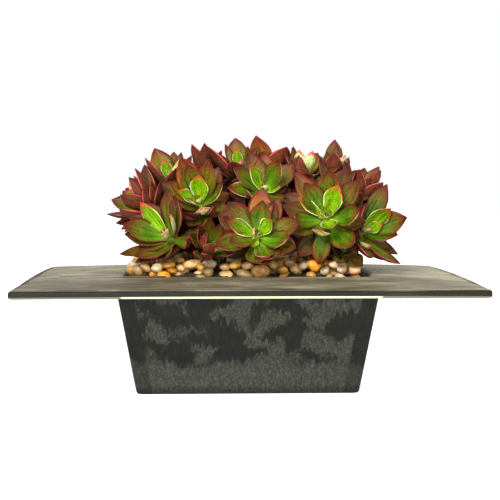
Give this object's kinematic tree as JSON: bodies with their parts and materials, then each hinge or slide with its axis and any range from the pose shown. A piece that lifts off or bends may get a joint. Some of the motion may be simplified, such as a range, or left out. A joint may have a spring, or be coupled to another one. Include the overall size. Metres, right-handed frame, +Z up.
{
  "type": "succulent dish garden",
  "caption": "Low wide-brimmed planter with a dome of echeveria rosettes growing from a bed of river pebbles.",
  "frame": {"origin": "on the floor, under the middle of the planter", "axes": "+X along the brim's long side, to the right as seen from the front; +Y to the back; +Z up"},
  "size_m": [0.43, 0.3, 0.2535],
  "materials": {
    "cast_stone": "slate grey cast stone, marbled, matt",
    "soil": "damp potting soil",
    "pebbles": "tumbled river pebbles, tan and amber",
    "leaf": "green leaves with maroon tips and undersides, satin"
  },
  "bodies": {
    "root": {"pebble_bed": "pebbles", "planter": "cast_stone", "rosette_back_left": "leaf", "rosette_back_left_inner": "leaf", "rosette_back_right": "leaf", "rosette_back_right_inner": "leaf", "rosette_front_left": "leaf", "rosette_front_middle": "leaf", "rosette_front_right": "leaf", "rosette_left": "leaf", "rosette_left_top": "leaf", "rosette_left_upper": "leaf", "rosette_low_back_left": "leaf", "rosette_low_back_right": "leaf", "rosette_low_left": "leaf", "rosette_low_right": "leaf", "rosette_middle_low": "leaf", "rosette_middle_upper": "leaf", "rosette_right": "leaf", "rosette_right_back": "leaf", "rosette_right_side": "leaf", "rosette_right_top": "leaf", "rosette_right_upper": "leaf", "rosette_top_back": "leaf", "rosette_top_left": "leaf", "rosette_top_middle": "leaf", "rosette_top_right": "leaf", "soil": "soil"}
  },
  "joints": []
}
